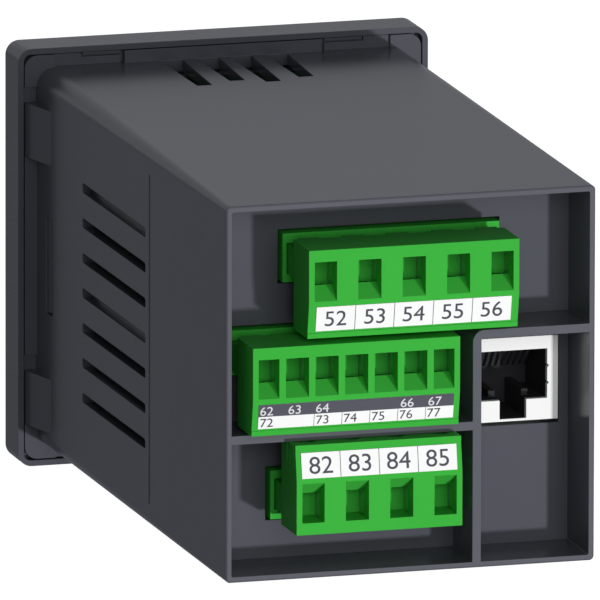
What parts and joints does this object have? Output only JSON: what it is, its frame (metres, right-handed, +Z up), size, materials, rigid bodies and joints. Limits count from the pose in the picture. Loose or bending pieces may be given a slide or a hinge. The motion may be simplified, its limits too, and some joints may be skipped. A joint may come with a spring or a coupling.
{
  "type": "protection relay",
  "caption": "Square panel-mounted protection relay: keyed display fascia, tapering slotted case and a divided rear recess with pull-off terminal plugs and a data jack.",
  "frame": {"origin": "middle of the plane where the bezel's rear rim seats on the panel", "axes": "+Y from the front fascia towards the terminals, +Z up, +X to the left as seen from the terminals"},
  "size_m": [0.072, 0.1243, 0.072],
  "materials": {
    "case_plastic": "fine satin grain",
    "bezel_plastic": "fine satin grain",
    "overlay_film": "printed polyester film, satin",
    "clear_plastic": "clear, polished",
    "lcd_glass": "dark green-grey display glass",
    "white_plastic": "smooth white",
    "black_plastic": "fine satin",
    "key_plastic": "soft satin",
    "board_laminate": "green solder mask",
    "terminal_plastic": "bright green, satin",
    "tinned_steel": "tinned",
    "tinned_brass": "plain",
    "relay_plastic": "smooth",
    "disc_coating": "dipped coating",
    "core_steel": "varnished steel sheet",
    "copper_wire": "enamelled copper wire",
    "label_paper": "printed film, satin"
  },
  "bodies": {
    "housing": {"case_shell": "case_plastic", "front_bezel": "bezel_plastic", "fascia_overlay": "overlay_film", "display_window": "clear_plastic", "lcd_panel": "lcd_glass", "lcd_backlight": "white_plastic", "display_board": "board_laminate", "board_screws": "tinned_steel", "light_pipes": "clear_plastic", "status_leds": "white_plastic", "tactile_switches": "black_plastic", "upper_board": "board_laminate", "middle_board": "board_laminate", "lower_board": "board_laminate", "link_strips": "black_plastic", "board_link_pins": "tinned_brass", "output_relays": "relay_plastic", "power_capacitors": "black_plastic", "surge_discs": "disc_coating", "transformer_core": "core_steel", "transformer_winding": "copper_wire", "processor": "black_plastic", "upper_header": "terminal_plastic", "middle_header": "terminal_plastic", "lower_header": "terminal_plastic", "upper_header_pins": "tinned_steel", "middle_header_pins": "tinned_steel", "lower_header_pins": "tinned_steel", "data_jack": "white_plastic", "jack_insert": "black_plastic", "jack_contacts": "tinned_brass"},
    "key_up_body": {"key_up": "key_plastic"},
    "key_down_body": {"key_down": "key_plastic"},
    "key_back_body": {"key_back": "key_plastic"},
    "key_enter_body": {"key_enter": "key_plastic"},
    "key_test_body": {"key_test": "key_plastic"},
    "key_reset_body": {"key_reset": "key_plastic"},
    "upper_plug_body": {"upper_plug": "terminal_plastic", "upper_clamps": "tinned_steel", "upper_clamp_screws": "tinned_steel", "upper_contacts": "tinned_brass", "upper_label": "label_paper"},
    "middle_plug_body": {"middle_plug": "terminal_plastic", "middle_clamps": "tinned_steel", "middle_clamp_screws": "tinned_steel", "middle_contacts": "tinned_brass", "middle_label": "label_paper"},
    "lower_plug_body": {"lower_plug": "terminal_plastic", "lower_clamps": "tinned_steel", "lower_clamp_screws": "tinned_steel", "lower_contacts": "tinned_brass", "lower_label": "label_paper"}
  },
  "joints": [
    {"name": "key_up_press", "type": "slide", "parent": "housing", "child": "key_up_body", "axis": [0, 1, 0], "range_m": [0, 0.0005], "stiffness_N_per_m": 300, "springref_m": -0.001},
    {"name": "key_down_press", "type": "slide", "parent": "housing", "child": "key_down_body", "axis": [0, 1, 0], "range_m": [0, 0.0005], "stiffness_N_per_m": 300, "springref_m": -0.001},
    {"name": "key_back_press", "type": "slide", "parent": "housing", "child": "key_back_body", "axis": [0, 1, 0], "range_m": [0, 0.0005], "stiffness_N_per_m": 300, "springref_m": -0.001},
    {"name": "key_enter_press", "type": "slide", "parent": "housing", "child": "key_enter_body", "axis": [0, 1, 0], "range_m": [0, 0.0005], "stiffness_N_per_m": 300, "springref_m": -0.001},
    {"name": "key_test_press", "type": "slide", "parent": "housing", "child": "key_test_body", "axis": [0, 1, 0], "range_m": [0, 0.0005], "stiffness_N_per_m": 300, "springref_m": -0.001},
    {"name": "key_reset_press", "type": "slide", "parent": "housing", "child": "key_reset_body", "axis": [0, 1, 0], "range_m": [0, 0.0005], "stiffness_N_per_m": 300, "springref_m": -0.001},
    {"name": "upper_plug_pull", "type": "slide", "parent": "housing", "child": "upper_plug_body", "axis": [0, 1, 0], "range_m": [0, 0.02]},
    {"name": "middle_plug_pull", "type": "slide", "parent": "housing", "child": "middle_plug_body", "axis": [0, 1, 0], "range_m": [0, 0.02]},
    {"name": "lower_plug_pull", "type": "slide", "parent": "housing", "child": "lower_plug_body", "axis": [0, 1, 0], "range_m": [0, 0.02]}
  ]
}
